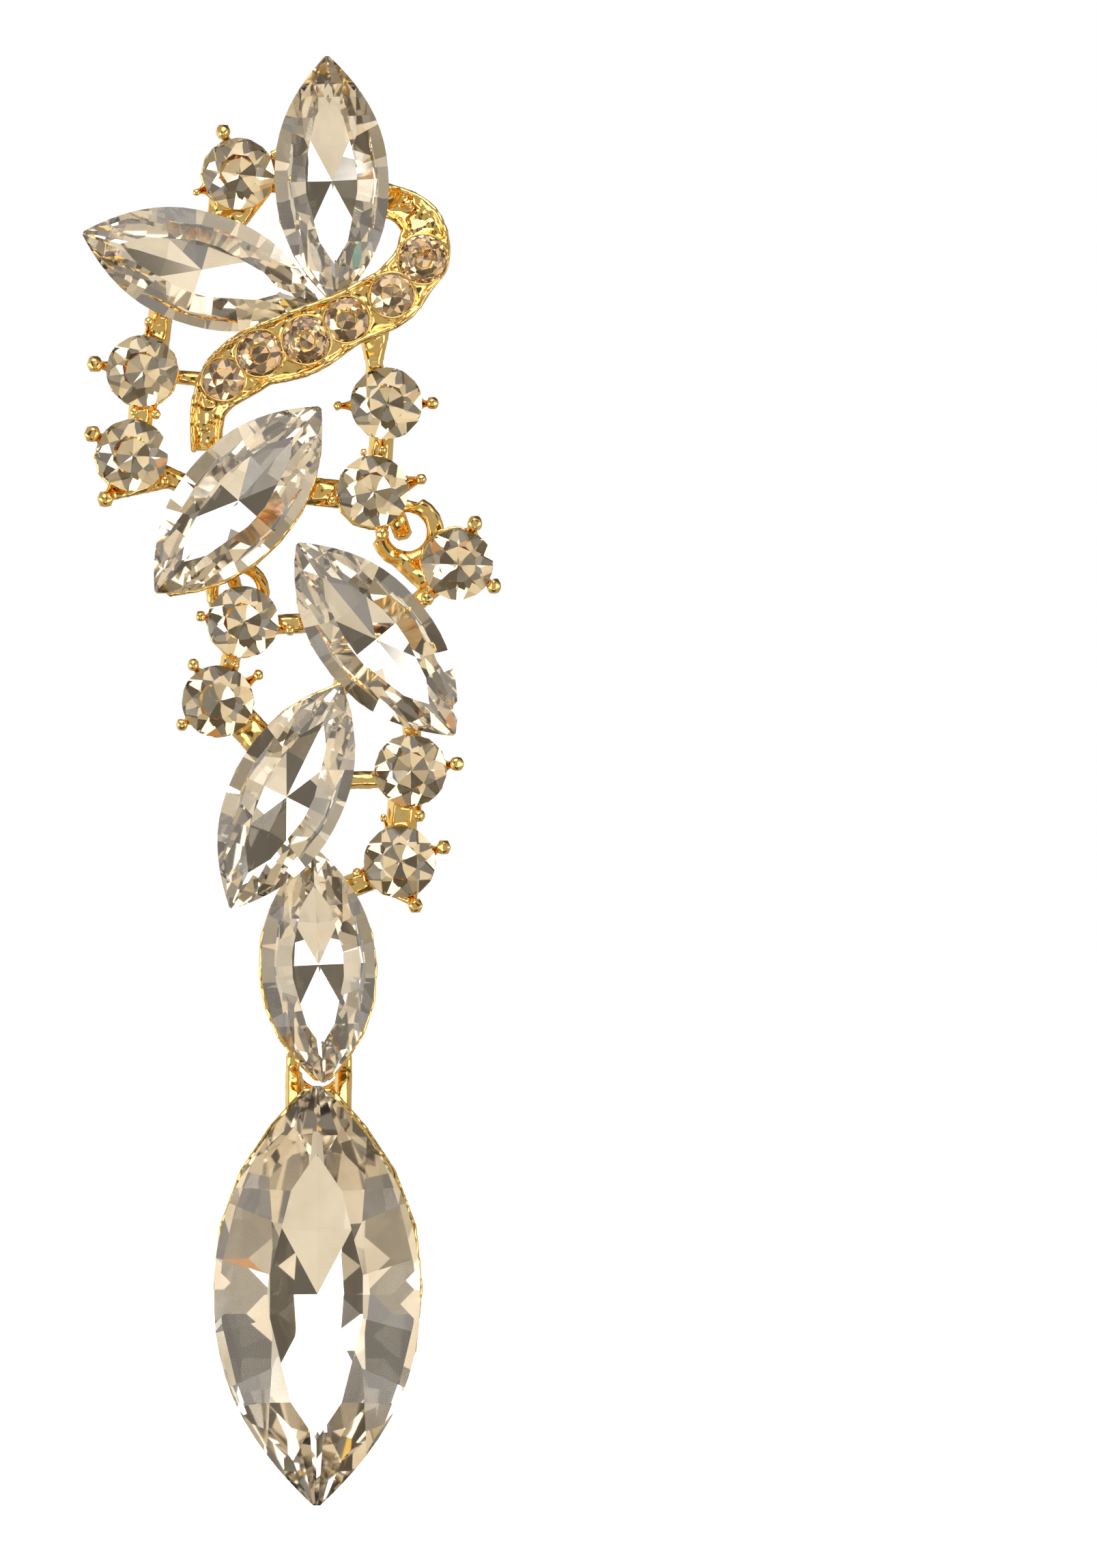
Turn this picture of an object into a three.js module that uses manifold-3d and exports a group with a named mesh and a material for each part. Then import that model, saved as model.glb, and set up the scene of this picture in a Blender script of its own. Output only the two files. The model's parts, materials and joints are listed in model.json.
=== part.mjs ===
// An articulated statement earring: three rigid cast sections that hang one below the other.
//
// Everything is drawn in "face" coordinates, in millimetres: x to the right, y up and z towards
// the viewer, with the back plane of the castings at z = 0. The last group turns the face upright,
// so that the earring stands with +Z up and looks along -Y. The origin is where the ear post
// leaves the back plane.

import * as THREE from 'three';
import { mergeVertices } from 'three/addons/utils/BufferGeometryUtils.js';
import { ConvexGeometry } from 'three/addons/geometries/ConvexGeometry.js';
import Module from 'manifold-3d';

const wasm = await Module();
wasm.setup();

// ---------------------------------------------------------------- driving dimensions

const NAVETTE = { width: 6.94, crown: 1.15, pavilion: 2.0 };
const LARGE_NAVETTE = { width: 12.58, crown: 1.8, pavilion: 3.1 };
const ROUND = { diameter: 4.4, crown: 0.85, pavilion: 1.6 };

const GIRDLE = 0.15; // thickness of a stone's edge
const SWELL = 2.3; // exponent of the marquise outline: 2 is a parabola, more is fuller
const TIP = 0.985; // share of the ideal half length where the blunt tip is cut
const SEAT_GAP = 0.15; // air between a stone's edge and the metal
const SEAT_DEPTH = 0.25; // air under the point or keel of a stone
const RIM_DROP = 0.4; // how far a cup's rim lies behind the girdle of its stone

const CUP = { wall: 0.2, baseLength: 0.21, baseWidth: 0.22 };
const ROUND_CUP = { lip: 0.05, foot: 0.95, footShare: 0.38, wall: 0.35 };
const WEB_DEPTH = 1.2; // thickness of the webs from front to back
const STALK = { tip: 0.62, root: 0.95 }; // thickness of a prong's stalk as a share of its ball
const BEAD_SWELL = 1.18; // makes a twenty-sided bead as large as the ball it stands for
const RING = { radius: 1.58, wire: 0.42, flatness: 0.8, height: 0.75 };
const BAIL = { x: -0.42, y: -50.85, height: 0.36 };
const BAIL_HOOK = { reach: 1.2, depth: 1.1, wire: 0.38, width: 0.38, aside: 0 };
const SWING = { slope: 19.6 }; // the middle section's hinge line rises to the right by this angle
const POST = { radius: 0.45, length: 11, pad: 2.2, padThickness: 0.5, boss: 2.0, bossHeight: 1.6 };

const SLIVER = 0.05; // edges shorter than this are closed up
const SIDES = { stone: 16, cup: 12, stalk: 4, web: 6, ring: 20, wire: 7, pave: 8, post: 16 };

// ---------------------------------------------------------------- where the stones sit

// length: from tip to tip before the tips are blunted. turn: the long axis, in degrees from +x.
// girdle: its height above the back plane. lip: how far the cup shows past the stone's sides.
// dx, dy: how far the cup sits off the stone's centre. tip: TIP for the cup, where it differs.
const NAVETTES = [
  { x: 0.42, y: 3.33, length: 15.35, turn: 92.2, girdle: 3.0, lip: 0.02, dx: -0.05, dy: -0.05 },
  { x: -7.55, y: -2.08, length: 15.3, turn: -16.9, girdle: 2.7, lip: 0, dx: 0, dy: 0 },
  { x: -5.3, y: -16.17, length: 15.3, turn: 48.4, girdle: 2.85, lip: 0.03, dx: 0.02, dy: -0.24, tip: 0.92 },
  { x: 3.12, y: -24.66, length: 15.3, turn: -50.6, girdle: 2.8, lip: 0.02, dx: -0.06, dy: 0 },
  { x: -2.33, y: -34.3, length: 15.3, turn: 63.6, girdle: 4.0, lip: 0, dx: 0.02, dy: 0.2 },
  { x: -0.41, y: -44.55, length: 14.6, turn: 92.6, girdle: 2.45, lip: 0.2, dx: -0.04, dy: -0.25, tip: 0.94 },
].map((seat, k) => ({ ...seat, name: `stone_navette_${k + 1}` }));
const DROP_STONE = {
  name: 'stone_drop', x: -0.46, y: -64.65, length: 25.95, turn: 90,
  girdle: 3.8, lip: 0.14, dx: 0.04, dy: 0.42, tip: 0.94,
};

// spin: turns the eight-sided table, in degrees.
const ROUNDS = [
  { x: -5.3, y: 3.78, girdle: 2.3, spin: 10, dx: -0.12, dy: -0.08 },
  { x: -11.18, y: -8.28, girdle: 2.8, spin: 0, dx: 0.05, dy: -0.05 },
  { x: -11.78, y: -13.42, girdle: 2.8, spin: 15, dx: -0.12, dy: -0.1 },
  { x: 3.75, y: -10.27, girdle: 2.8, spin: 5, dx: 0, dy: 0 },
  { x: 2.94, y: -15.63, girdle: 2.8, spin: 20, dx: -0.1, dy: -0.15 },
  { x: 8.1, y: -20.1, girdle: 2.8, spin: 8, dx: -0.14, dy: 0.16 },
  { x: -5.0, y: -23.6, girdle: 2.8, spin: 0, dx: -0.05, dy: -0.02 },
  { x: -6.54, y: -28.46, girdle: 2.8, spin: 12, dx: 0, dy: 0 },
  { x: 5.23, y: -32.67, girdle: 2.8, spin: 22, dx: 0, dy: 0 },
  { x: 4.56, y: -38.25, girdle: 2.8, spin: 3, dx: 0, dy: -0.05 },
].map((seat, k) => ({ ...seat, name: `stone_round_${k + 1}` }));

// Which stones each casting carries.
const TOP = { navettes: NAVETTES.slice(0, 3), rounds: ROUNDS.slice(0, 5) };
const MIDDLE = { navettes: NAVETTES.slice(3), rounds: ROUNDS.slice(5) };

// Ball-tipped prongs: stone number, angle round it in degrees from +x, reach from its centre to
// the middle of the ball, and the ball's diameter. A fin has a wider root than the others.
const PRONGS = [
  { stone: 1, angle: 110, reach: 2.72, ball: 0.92 },
  { stone: 1, angle: 204, reach: 2.8, ball: 0.5, root: 1.4 },
  { stone: 1, angle: 28, reach: 2.4, ball: 0.6 },
  { stone: 2, angle: 172, reach: 2.9, ball: 0.98 },
  { stone: 2, angle: 82, reach: 3.0, ball: 0.6 },
  { stone: 2, angle: 259, reach: 2.55, ball: 0.55 },
  { stone: 2, angle: -72, reach: 2.78, ball: 0.62 },
  { stone: 3, angle: 152, reach: 2.72, ball: 1.02 },
  { stone: 3, angle: 239, reach: 3.15, ball: 1.0 },
  { stone: 3, angle: -38, reach: 2.58, ball: 0.68 },
  { stone: 4, angle: 0, reach: 2.83, ball: 0.78 },
  { stone: 4, angle: 183, reach: 2.98, ball: 0.55, root: 1.2 },
  { stone: 4, angle: 265, reach: 2.82, ball: 0.62 },
  { stone: 5, angle: 104, reach: 2.4, ball: 0.5 },
  { stone: 5, angle: 14, reach: 3.03, ball: 0.7, root: 1.7 },
  { stone: 5, angle: -78, reach: 2.68, ball: 0.88 },
  { stone: 5, angle: 193, reach: 2.55, ball: 0.68 },
  { stone: 6, angle: 67, reach: 2.7, ball: 0.95, root: 1.2 },
  { stone: 6, angle: -31, reach: 2.58, ball: 0.95 },
  { stone: 6, angle: 228, reach: 2.75, ball: 0.86 },
  { stone: 7, angle: 173, reach: 2.6, ball: 0.66 },
  { stone: 7, angle: -10, reach: 2.92, ball: 0.65 },
  { stone: 8, angle: 124, reach: 2.67, ball: 0.76 },
  { stone: 8, angle: 33, reach: 2.95, ball: 0.66, root: 1.0 },
  { stone: 8, angle: 64, reach: 2.4, ball: 0.62 },
  { stone: 8, angle: 213, reach: 2.6, ball: 0.76 },
  { stone: 9, angle: 8, reach: 2.86, ball: 0.9 },
  { stone: 9, angle: 96, reach: 2.5, ball: 0.46 },
  { stone: 9, angle: -79, reach: 2.8, ball: 0.76 },
  { stone: 10, angle: 18, reach: 2.83, ball: 0.88 },
  { stone: 10, angle: -70, reach: 2.84, ball: 0.9 },
  { stone: 10, angle: 194, reach: 2.69, ball: 0.58 },
  { stone: 10, angle: 110, reach: 2.85, ball: 0.5 },
];

// Webs between neighbouring cups: the two ends (x, y, height) and the width across the face.
const TOP_WEBS = [
  { from: [-10.4, -7.4, 1.5], to: [-10.0, -4.2, 1.5], width: 1.6 },
  { from: [-10.5, -8.5, 1.5], to: [-6.8, -8.8, 1.8], width: 0.95 },
  { from: [-11.2, -9.4, 1.5], to: [-11.4, -12.3, 1.5], width: 1.6 },
  { from: [-11.0, -14.1, 1.5], to: [-7.3, -15.8, 1.5], width: 1.35 },
  { from: [-13.2, -16.0, 2.5], to: [-9.6, -15.2, 1.7], width: 0.5 },
  { from: [-5.8, 3.2, 1.3], to: [-6.5, -0.3, 1.4], width: 2.3 },
  { from: [-5.4, 0.7, 1.5], to: [-3.8, 2.8, 1.3], width: 1.0 },
  { from: [-4.4, 3.7, 1.2], to: [-1.5, 3.7, 1.4], width: 2.2 },
  { from: [2.5, -5.6, 1.7], to: [3.3, -9.2, 1.5], width: 1.1 },
  { from: [3.6, -5.2, 1.8], to: [2.85, -8.6, 1.5], width: 1.0 },
  { from: [3.5, -11.3, 1.5], to: [3.3, -14.6, 1.5], width: 1.6 },
  { from: [2.0, -15.9, 1.5], to: [-2.3, -15.45, 1.5], width: 1.85 },
];
const MIDDLE_WEBS = [
  { from: [7.3, -20.9, 1.5], to: [4.7, -23.2, 1.5], width: 1.2 },
  { from: [-4.2, -23.8, 1.5], to: [0, -23.6, 1.5], width: 1.3 },
  { from: [-5.5, -24.6, 1.5], to: [-6.1, -27.3, 1.5], width: 1.25 },
  { from: [-5.7, -29.0, 1.5], to: [-3.25, -31.7, 2.1], width: 2.15 },
  { from: [1.1, -26.6, 1.6], to: [0.5, -29.6, 2.6], width: 1.0 },
  { from: [-0.3, -33.3, 2.2], to: [4.5, -33.2, 1.6], width: 1.15 },
  { from: [5.4, -31.7, 1.5], to: [5.2, -29.2, 1.5], width: 1.2 },
  { from: [4.8, -33.6, 1.5], to: [4.6, -37.1, 1.5], width: 2.0 },
  { from: [3.7, -38.9, 1.5], to: [0.2, -40.3, 1.5], width: 1.55 },
  { from: [2.9, -39.6, 1.7], to: [5.3, -40.7, 2.5], width: 0.5 },
  { from: [-1.4, -37.5, 2.3], to: [-0.6, -41.5, 1.2], width: 1.8 },
  { from: [6.3, -18.9, 0.75], to: [8.0, -19.6, 1.2], width: 1.3 },
  { from: [4.4, -19.6, 0.75], to: [6.7, -21.75, 1.1], width: 1.25 },
];
const DROP_WEBS = [
  { from: [-0.42, -52.9, 0.5], to: [-0.42, -56.6, 2.3], width: 2.4 },
  { from: [-1.95, -51.2, 0.6], to: [-1.9, -54.6, 2.5], width: 1.15 },
  { from: [1.11, -51.2, 0.6], to: [1.06, -54.6, 2.5], width: 1.15 },
];

// The curved leaf band: stations along its middle, half its width, and its floor's height.
const BAND = [
  { x: 3.4, y: 2.4, half: 0.95, height: 1.75 },
  { x: 5.15, y: 1.55, half: 1.18, height: 2.2 },
  { x: 5.93, y: 0.6, half: 1.38, height: 2.6 },
  { x: 6.05, y: -0.5, half: 1.62, height: 2.9 },
  { x: 5.92, y: -1.5, half: 1.68, height: 3.1 },
  { x: 5.05, y: -2.7, half: 1.64, height: 3.4 },
  { x: 4.15, y: -3.78, half: 1.82, height: 3.6 },
  { x: 2.75, y: -4.52, half: 1.8, height: 3.75 },
  { x: 1.33, y: -5.2, half: 1.72, height: 3.85 },
  { x: -1.1, y: -6.48, half: 2.08, height: 3.9 },
  { x: -2.5, y: -7.0, half: 2.04, height: 3.8 },
  { x: -3.95, y: -7.4, half: 1.9, height: 3.6 },
  { x: -5.05, y: -8.1, half: 1.86, height: 3.3 },
  { x: -6.12, y: -8.95, half: 1.68, height: 3.0 },
  { x: -7.02, y: -10.3, half: 1.2, height: 2.6 },
  { x: -7.25, y: -11.6, half: 1.04, height: 2.2 },
  { x: -7.25, y: -13.1, half: 0.98, height: 1.9 },
];
const BAND_SECTION = { rim: 0.36, rimHeight: 0.35, draft: 0.2, body: 1.7 };
const BAND_STEPS = 20;
// The triangles that close the eight-cornered section at either end.
const BAND_END = [[0, 1, 3], [1, 2, 3], [0, 3, 4], [0, 4, 7], [4, 5, 6], [4, 6, 7]];

// The band's six small stones, joined to it: place, diameter and the height of the floor there.
const PAVE = [
  { x: 6.0, y: -1.5, diameter: 3.05, height: 3.1 },
  { x: 4.1, y: -3.7, diameter: 2.75, height: 3.6 },
  { x: 1.33, y: -5.2, diameter: 2.85, height: 3.85 },
  { x: -1.1, y: -6.45, diameter: 3.0, height: 3.9 },
  { x: -3.95, y: -7.25, diameter: 2.9, height: 3.6 },
  { x: -6.2, y: -8.8, diameter: 2.65, height: 3.0 },
];
const PAVE_SETTING = { collar: 0.12, collarHeight: 0.22, stoneHeight: 0.55, table: 0.55 };

// ---------------------------------------------------------------- solids and placing

const rad = THREE.MathUtils.degToRad;

/** The closed solid of a geometry, moved by a matrix. */
function solid(geometry, matrix = new THREE.Matrix4()) {
  const bare = geometry.index ? geometry.toNonIndexed() : geometry.clone();
  bare.deleteAttribute('normal');
  bare.deleteAttribute('uv');
  const merged = mergeVertices(bare.applyMatrix4(matrix));
  return new wasm.Manifold(new wasm.Mesh({
    numProp: 3,
    vertProperties: merged.attributes.position.array,
    triVerts: new Uint32Array(merged.index.array),
  }));
}

/** A named mesh from a solid, without the slivers that joining leaves. */
function meshOf(name, body, material) {
  const { numProp, vertProperties, triVerts } = body.simplify(SLIVER).getMesh();
  const geometry = new THREE.BufferGeometry();
  geometry.setAttribute('position', new THREE.BufferAttribute(new Float32Array(vertProperties), numProp));
  geometry.setIndex(new THREE.BufferAttribute(new Uint32Array(triVerts), 1));
  geometry.computeVertexNormals();
  const mesh = new THREE.Mesh(geometry, material);
  mesh.name = name;
  return mesh;
}

const join = (solids) => solids.reduce((whole, piece) => whole.add(piece));

/** Moves a stone or a cup from its own axes to its place on the face, at a height. */
function placeAt({ x, y, turn = 0 }, height) {
  const place = new THREE.Matrix4().makeTranslation(x, y, height);
  return place.multiply(new THREE.Matrix4().makeRotationZ(rad(turn)));
}

/** A bar between two points, as wide as stated across the face and WEB_DEPTH deep or less. */
function web({ from, to, width, endWidth = width, sides = SIDES.web }) {
  const start = new THREE.Vector3(...from);
  const along = new THREE.Vector3(...to).sub(start);
  const across = new THREE.Vector3(0, 0, 1).cross(along).normalize();
  const up = along.clone().normalize();
  const through = across.clone().cross(up);
  const bar = new THREE.CylinderGeometry((0.5 * endWidth) / width, 0.5, 1, sides).rotateY(Math.PI / sides);
  bar.translate(0, 0.5, 0).scale(width, along.length(), Math.min(WEB_DEPTH, width));
  const axes = new THREE.Matrix4().makeBasis(across, up, through).setPosition(start);
  return solid(bar, axes);
}

/** A wire along a curve, closed at both ends. A width of its own makes it oval, for curves square to x. */
function wire(curve, radius, steps, width = radius) {
  const section = new THREE.Shape();
  for (let side = 0; side < SIDES.wire; side += 1) {
    const angle = (2 * Math.PI * side) / SIDES.wire;
    const corner = [width * Math.cos(angle), radius * Math.sin(angle)];
    if (side === 0) section.moveTo(...corner);
    else section.lineTo(...corner);
  }
  return new THREE.ExtrudeGeometry(section, { steps, extrudePath: curve, curveSegments: 1 });
}

// ---------------------------------------------------------------- stones

/** Points of a marquise outline at one height, in pairs above and below the long axis. */
function navetteRing(halfLength, halfWidth, z, stations = 5, tip = TIP) {
  const points = [];
  for (let k = -stations; k <= stations; k += 1) {
    const share = tip * Math.sin((k / stations) * (Math.PI / 2));
    const half = halfWidth * (1 - Math.abs(share) ** SWELL);
    points.push(new THREE.Vector3(halfLength * share, half, z));
    points.push(new THREE.Vector3(halfLength * share, -half, z));
  }
  return points;
}

/** A marquise stone in its place, or, grown by gap and depth, the room it needs. */
function navetteStone(size, seat, gap = 0, depth = 0) {
  const halfLength = seat.length / 2 + gap;
  const halfWidth = size.width / 2 + gap;
  const keel = 0.18 * halfLength;
  const shape = new ConvexGeometry([
    ...navetteRing(halfLength, halfWidth, -gap),
    ...navetteRing(halfLength, halfWidth, GIRDLE + gap),
    ...navetteRing(0.62 * halfLength, 0.5 * halfWidth, size.crown + gap, 2),
    new THREE.Vector3(-keel, 0, -size.pavilion - depth),
    new THREE.Vector3(keel, 0, -size.pavilion - depth),
  ]);
  return solid(shape, placeAt(seat, seat.girdle));
}

/** Points evenly round a circle at one height. */
function circleRing(radius, z, count, spin = 0) {
  return Array.from({ length: count }, (_, k) => {
    const angle = rad(spin) + (2 * Math.PI * k) / count;
    return new THREE.Vector3(radius * Math.cos(angle), radius * Math.sin(angle), z);
  });
}

/** A round stone in its place. */
function roundStone(seat) {
  const radius = ROUND.diameter / 2;
  const shape = new ConvexGeometry([
    ...circleRing(radius, 0, SIDES.stone, seat.spin),
    ...circleRing(radius, GIRDLE, SIDES.stone, seat.spin),
    ...circleRing(0.58 * radius, ROUND.crown, 8, seat.spin),
    new THREE.Vector3(0, 0, -ROUND.pavilion),
  ]);
  return solid(shape, placeAt({ x: seat.x, y: seat.y }, seat.girdle));
}

/** The room a round stone needs in its cup, open to the front. */
function roundRoom(seat) {
  const radius = ROUND.diameter / 2 + SEAT_GAP;
  const shape = new ConvexGeometry([
    ...circleRing(radius, -SEAT_GAP, SIDES.cup),
    ...circleRing(radius, ROUND.crown, SIDES.cup),
    new THREE.Vector3(0, 0, -ROUND.pavilion - SEAT_DEPTH),
  ]);
  return solid(shape, placeAt({ x: seat.x, y: seat.y }, seat.girdle));
}

// ---------------------------------------------------------------- metalwork

/** The boat-shaped cup under a marquise stone: its rim shows past the stone's sides, not its tips. */
function boatCup(size, seat) {
  const halfLength = seat.length / 2;
  const halfWidth = size.width / 2 + seat.lip;
  const floor = -Math.min(seat.girdle, size.pavilion + SEAT_DEPTH + CUP.wall);
  const hull = new ConvexGeometry([
    ...navetteRing(halfLength, halfWidth, -RIM_DROP, 5, seat.tip),
    ...navetteRing(halfLength - 0.05, halfWidth - 0.05, -RIM_DROP - 0.3, 5, seat.tip),
    ...navetteRing(CUP.baseLength * halfLength, CUP.baseWidth * halfWidth, floor, 2),
  ]);
  return solid(hull, placeAt({ ...seat, x: seat.x + seat.dx, y: seat.y + seat.dy }, seat.girdle));
}

/** The cup under a round stone: a narrow foot that flares to the rim. */
function roundCup(seat) {
  const rim = ROUND.diameter / 2 + ROUND_CUP.lip;
  const top = seat.girdle - RIM_DROP;
  const foot = ROUND_CUP.footShare * seat.girdle;
  const profile = [
    [0, 0],
    [ROUND_CUP.foot, 0],
    [ROUND_CUP.foot, foot],
    [rim - 0.05, top - ROUND_CUP.wall],
    [rim, top],
    [0, top],
  ].map(([radius, height]) => new THREE.Vector2(radius, height));
  const place = placeAt({ x: seat.x + seat.dx, y: seat.y + seat.dy }, 0);
  return solid(new THREE.LatheGeometry(profile, SIDES.cup).rotateX(Math.PI / 2), place);
}

/** One ball-tipped prong, from the wall of its cup out past the stone's edge. */
function prong({ stone, angle, reach, ball, root: rootWidth = STALK.root * ball }) {
  const seat = ROUNDS[stone - 1];
  const out = new THREE.Vector3(Math.cos(rad(angle)), Math.sin(rad(angle)), 0);
  const centre = new THREE.Vector3(seat.x, seat.y, 0);
  const root = centre.clone().addScaledVector(out, 1.55).setZ(seat.girdle - 1.35);
  const tip = centre.clone().addScaledVector(out, reach).setZ(seat.girdle + 0.1);
  const stalk = web({
    from: root.toArray(), to: tip.toArray(), width: rootWidth, endWidth: STALK.tip * ball, sides: SIDES.stalk,
  });
  const head = new THREE.IcosahedronGeometry((BEAD_SWELL * ball) / 2, 0);
  return stalk.add(solid(head.translate(tip.x, tip.y, tip.z)));
}

/** A ring of slightly flattened wire, lying flat. */
function ring(x, y, height) {
  const torus = new THREE.TorusGeometry(RING.radius, RING.wire, SIDES.wire, SIDES.ring);
  return solid(torus.scale(1, 1, RING.flatness).translate(x, y, height));
}

/** The outer wire that thickens part of a ring, from one angle to another. */
function ringArc({ x, y, arc }) {
  const points = Array.from({ length: 9 }, (_, k) => {
    const angle = rad(arc.start + ((arc.end - arc.start) * k) / 8);
    return new THREE.Vector3(x + arc.radius * Math.cos(angle), y + arc.radius * Math.sin(angle), RING.height);
  });
  return solid(wire(new THREE.CatmullRomCurve3(points), arc.wire, 12));
}

/**
 * The loop that a ring hangs on: nearly a whole turn of wire round the ring's own wire at a point,
 * square to the hinge line, which rises to the right by the angle "turn".
 */
function hook(point, turn, height, { reach, depth, wire: radius, width, aside }) {
  const loop = new THREE.CatmullRomCurve3(
    Array.from({ length: 13 }, (_, k) => {
      const angle = rad(60 + (285 * k) / 12);
      return new THREE.Vector3(aside, reach * Math.cos(angle), depth * Math.sin(angle));
    }),
  );
  return solid(wire(loop, radius, 12, width), placeAt({ ...point, turn }, height));
}

/** Sections along the band: the middle of its floor, the way across it and half its width. */
function bandSections() {
  const middle = new THREE.CatmullRomCurve3(BAND.map(({ x, y, height }) => new THREE.Vector3(x, y, height)));
  const widths = new THREE.SplineCurve(BAND.map(({ half }, k) => new THREE.Vector2(k, half)));
  return Array.from({ length: BAND_STEPS + 1 }, (_, k) => {
    const t = k / BAND_STEPS;
    const along = middle.getTangent(t).setZ(0).normalize();
    const side = new THREE.Vector3(-along.y, along.x, 0);
    return { point: middle.getPoint(t), side, half: widths.getPoint(t).y };
  });
}

/** The band: a trough with a raised rim along both edges, swept along its sections. */
function band() {
  const { rim, rimHeight, draft, body } = BAND_SECTION;
  const rows = bandSections().map(({ point, side, half }) => {
    const low = Math.max(point.z - body, 0.6);
    return [
      [-half + draft, low],
      [-half, point.z + 0.5 * rimHeight],
      [-half + 0.5 * rim, point.z + rimHeight],
      [-half + rim, point.z],
      [half - rim, point.z],
      [half - 0.5 * rim, point.z + rimHeight],
      [half, point.z + 0.5 * rimHeight],
      [half - draft, low],
    ].map(([across, z]) => point.clone().addScaledVector(side, across).setZ(z));
  });
  const faces = [];
  rows.slice(1).forEach((row, before) => {
    row.forEach((corner, k) => {
      const next = (k + 1) % row.length;
      faces.push(rows[before][k], row[next], rows[before][next]);
      faces.push(rows[before][k], corner, row[next]);
    });
  });
  BAND_END.forEach((corners) => {
    faces.push(...corners.map((k) => rows[0][k]));
    faces.push(...corners.map((k) => rows[rows.length - 1][k]).reverse());
  });
  return solid(new THREE.BufferGeometry().setFromPoints(faces));
}

/** A small stone of the band with the collar round it. */
function paveStone({ x, y, diameter, height }) {
  const { collar, collarHeight, stoneHeight, table } = PAVE_SETTING;
  const radius = diameter / 2;
  const profile = [
    [0, -0.4],
    [radius + collar, -0.4],
    [radius + collar, collarHeight],
    [radius, collarHeight],
    [radius * table, stoneHeight],
    [0, stoneHeight],
  ].map(([r, z]) => new THREE.Vector2(r, z));
  return solid(new THREE.LatheGeometry(profile, SIDES.pave).rotateX(Math.PI / 2), placeAt({ x, y }, height));
}

// ---------------------------------------------------------------- the castings

/** The room that the stones of a casting need, grown by the seat gap. */
function stoneRooms({ navettes, rounds }) {
  return [
    ...navettes.map((seat) => navetteStone(NAVETTE, seat, SEAT_GAP, SEAT_DEPTH)),
    ...rounds.map(roundRoom),
  ];
}

/** The cups, prongs and webs of one casting. */
function settings({ navettes, rounds }, webs) {
  const prongs = PRONGS.filter(({ stone }) => rounds.includes(ROUNDS[stone - 1]));
  return [
    ...navettes.map((seat) => boatCup(NAVETTE, seat)),
    ...rounds.map(roundCup),
    ...prongs.map(prong),
    ...webs.map(web),
  ];
}

// The middle section hangs by two rings. Each is caught at the point of its wire that lies
// furthest along "up", square to the hinge line.
const UP = { x: -Math.sin(rad(SWING.slope)), y: Math.cos(rad(SWING.slope)) };
const RINGS = [
  {
    x: 5.0, y: -18.06,
    arc: { start: -165, end: 68, radius: 1.86, wire: 0.45 },
    hook: { reach: 1.62, depth: 1.15, wire: 0.42, width: 0.62, aside: -0.3 },
  },
  { x: -5.38, y: -21.75, hook: { reach: 1.4, depth: 1.15, wire: 0.42, width: 0.42, aside: 0 } },
];
const catchOf = ({ x, y }) => ({ x: x + RING.radius * UP.x, y: y + RING.radius * UP.y });
const BAIL_CATCH = { x: BAIL.x, y: BAIL.y + RING.radius };

function topFrame() {
  const boss = new THREE.CylinderGeometry(POST.boss, POST.boss, POST.bossHeight, SIDES.post);
  const metal = join([
    ...settings(TOP, TOP_WEBS),
    band(),
    ...PAVE.map(paveStone),
    ...RINGS.map((seat) => hook(catchOf(seat), SWING.slope, RING.height, seat.hook)),
    solid(boss.rotateX(Math.PI / 2).translate(0, 0, POST.bossHeight / 2)),
  ]);
  return metal.subtract(join(stoneRooms(TOP)));
}

function middleFrame() {
  const metal = join([
    ...settings(MIDDLE, MIDDLE_WEBS),
    ...RINGS.map(({ x, y }) => ring(x, y, RING.height)),
    ...RINGS.filter(({ arc }) => arc).map(ringArc),
    hook(BAIL_CATCH, 0, BAIL.height, BAIL_HOOK),
  ]);
  return metal.subtract(join(stoneRooms(MIDDLE)));
}

function dropSetting() {
  const metal = join([
    boatCup(LARGE_NAVETTE, DROP_STONE),
    ring(BAIL.x, BAIL.y, BAIL.height),
    ...DROP_WEBS.map(web),
  ]);
  return metal.subtract(navetteStone(LARGE_NAVETTE, DROP_STONE, SEAT_GAP, SEAT_DEPTH));
}

/** The post with its round pad, reaching back from the boss. */
function earPost() {
  const { radius, length, pad, padThickness } = POST;
  const profile = [
    [0, -length],
    [0.6 * radius, -length],
    [radius, -length + 0.5],
    [radius, -padThickness],
    [pad, -padThickness],
    [pad, 0],
    [0, 0],
  ].map(([r, z]) => new THREE.Vector2(r, z));
  return solid(new THREE.LatheGeometry(profile, SIDES.post).rotateX(Math.PI / 2));
}

// ---------------------------------------------------------------- the earring

const gold = new THREE.MeshStandardMaterial({ color: 0xdca63a, metalness: 1, roughness: 0.2 });
const glass = new THREE.MeshStandardMaterial({ color: 0xcabfa6, metalness: 0, roughness: 0.05 });

const earring = new THREE.Group();
earring.rotation.x = Math.PI / 2;
earring.add(
  meshOf('top_frame', topFrame(), gold),
  meshOf('ear_post', earPost(), gold),
  meshOf('middle_frame', middleFrame(), gold),
  meshOf('drop_setting', dropSetting(), gold),
  meshOf(DROP_STONE.name, navetteStone(LARGE_NAVETTE, DROP_STONE), glass),
  ...NAVETTES.map((seat) => meshOf(seat.name, navetteStone(NAVETTE, seat), glass)),
  ...ROUNDS.map((seat) => meshOf(seat.name, roundStone(seat), glass)),
);

export default earring;
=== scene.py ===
"""Looks for the articulated crystal earring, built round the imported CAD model.

The castings are the CAD solids smoothed like polished casts, with the leaf band's rims, grain and
small stones added. Each marquise and round stone is cut anew, facet by facet, in the place of its
CAD stone. Lengths are in millimetres until a mesh is made, and metres after that. On the face of
the earring x runs to the right and z up, and what stands out goes towards minus y.
"""

import json
import math
import random
from collections import namedtuple

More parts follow.
